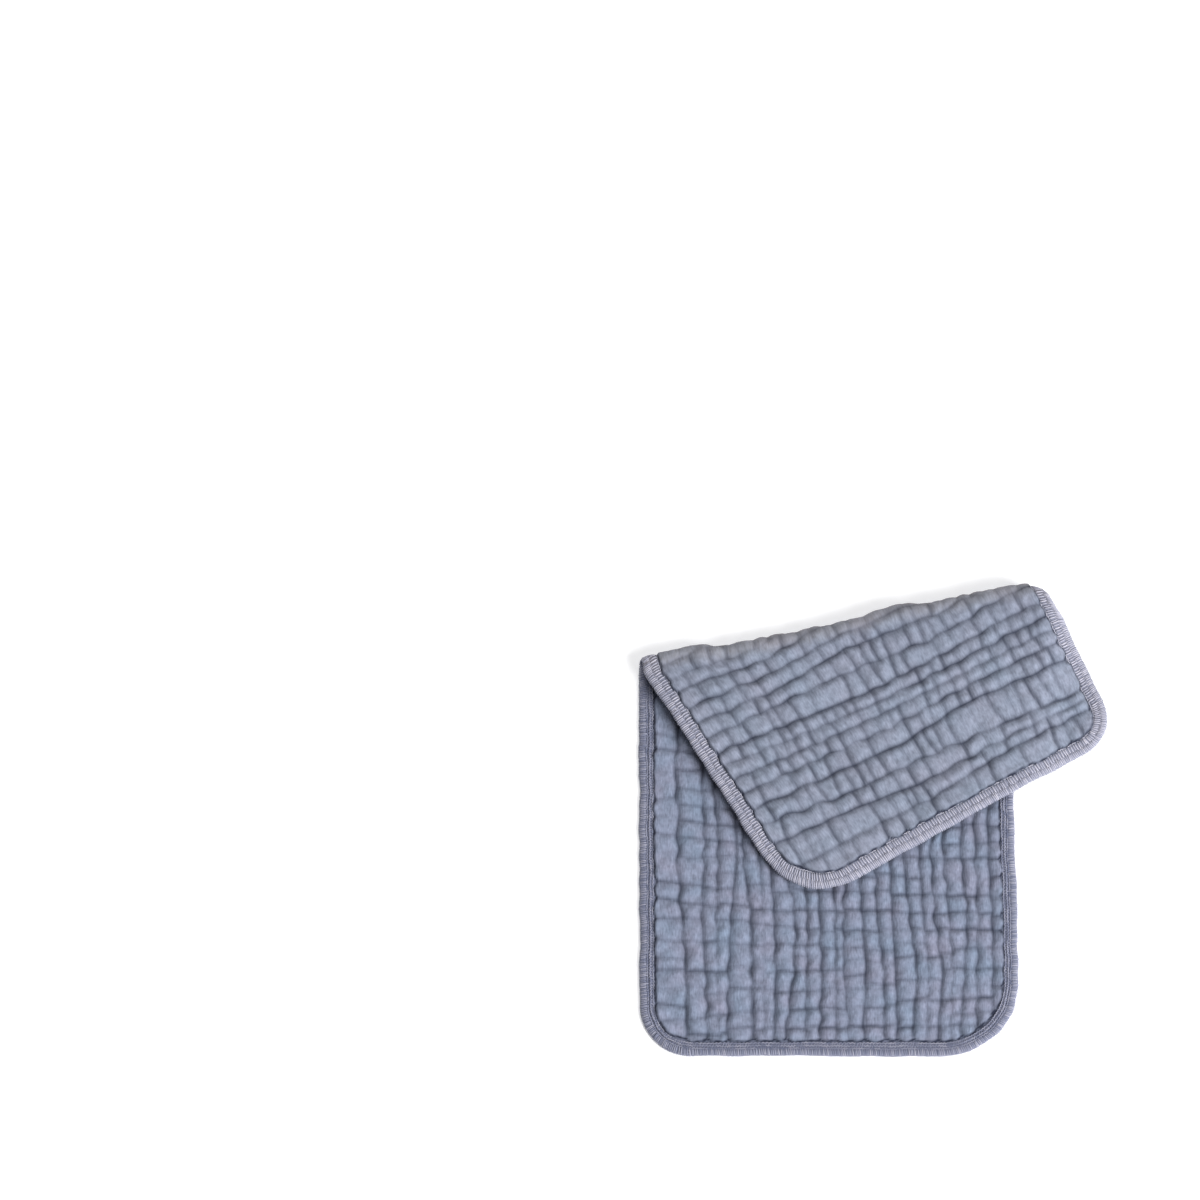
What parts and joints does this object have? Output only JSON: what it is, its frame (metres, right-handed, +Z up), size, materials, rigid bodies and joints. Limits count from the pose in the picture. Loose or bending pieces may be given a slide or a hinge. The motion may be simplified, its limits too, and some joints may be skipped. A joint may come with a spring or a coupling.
{
  "type": "burp cloth",
  "caption": "Folded burp cloth of crinkled cotton gauze with rounded corners and an overlocked hem, one end turned over at a slant.",
  "frame": {"origin": "middle of the folded cloth's box, on the surface that it lies on", "axes": "+Z up from the surface, +Y from the lower end towards the fold, +X to the right with the flap on top"},
  "size_m": [0.3098, 0.3312, 0.019],
  "materials": {
    "crinkled_gauze": "matte crinkled cotton gauze",
    "hem_thread": "matte overlock thread"
  },
  "bodies": {
    "root": {"burp_cloth": "crinkled_gauze"}
  },
  "joints": []
}
